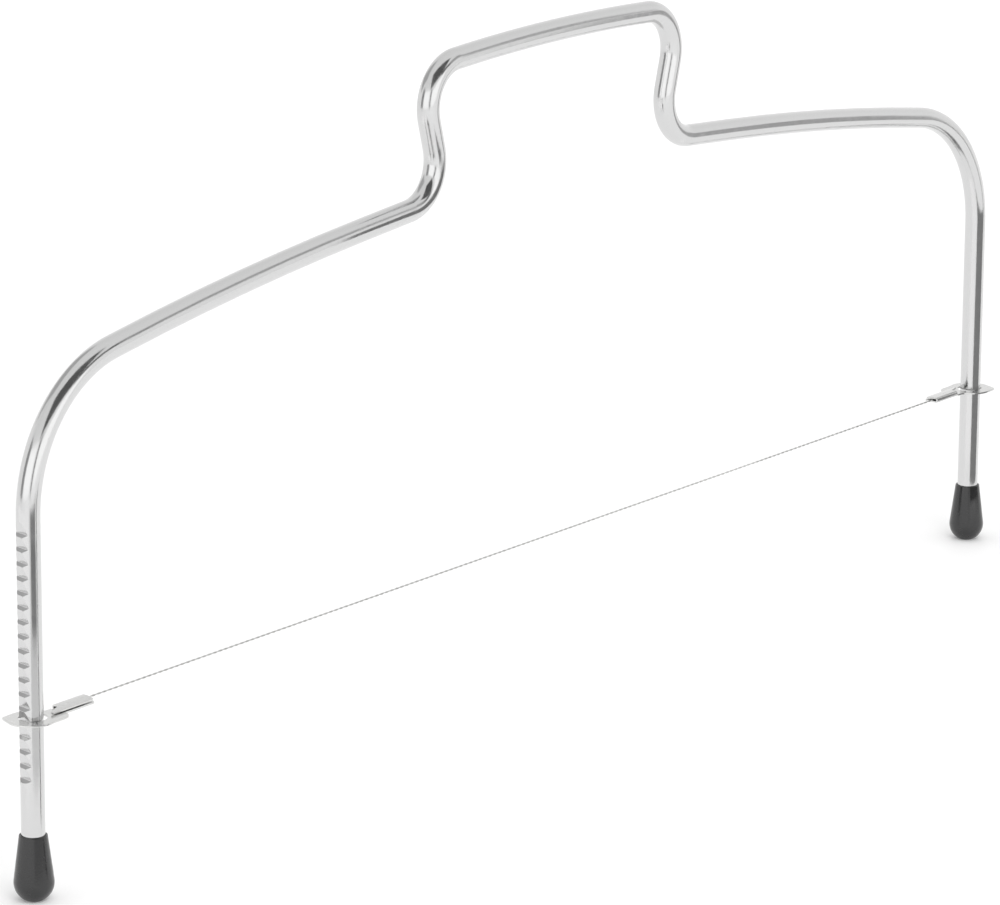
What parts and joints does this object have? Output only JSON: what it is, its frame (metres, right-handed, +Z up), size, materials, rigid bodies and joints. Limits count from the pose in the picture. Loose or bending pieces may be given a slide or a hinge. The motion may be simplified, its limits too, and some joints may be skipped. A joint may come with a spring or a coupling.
{
  "type": "cake leveler",
  "caption": "Bent plated-steel rod frame with a raised hand grip, notched legs on small plastic feet, and a taut twisted cutting wire held between two clips that set its height.",
  "frame": {"origin": "on the table, midway between the two legs, in the plane of the bent rod", "axes": "+Z up, +X along the cutting wire from the left leg to the right leg, +Y the way that the frame is pushed through a cake"},
  "size_m": [0.337, 0.0098, 0.1508],
  "materials": {
    "plated_rod": "bright plated, polished",
    "clip_steel": "satin, as rolled",
    "wire_steel": "bright drawn",
    "foot_plastic": "black, semi-gloss"
  },
  "bodies": {
    "frame": {"frame": "plated_rod", "left_foot": "foot_plastic", "right_foot": "foot_plastic"},
    "left_clip": {"left_clip": "clip_steel", "cutting_wire": "wire_steel"},
    "right_clip": {"right_clip": "clip_steel"}
  },
  "joints": [
    {"name": "left_clip_height", "type": "slide", "parent": "frame", "child": "left_clip", "axis": [0, 0, 1], "range_m": [-0.01172, 0.03809]},
    {"name": "right_clip_height", "type": "slide", "parent": "frame", "child": "right_clip", "axis": [0, 0, 1], "range_m": [-0.01172, 0.03809]}
  ],
  "couplings": [
    {"joint": "right_clip_height", "follows": "left_clip_height", "ratio": 1}
  ]
}
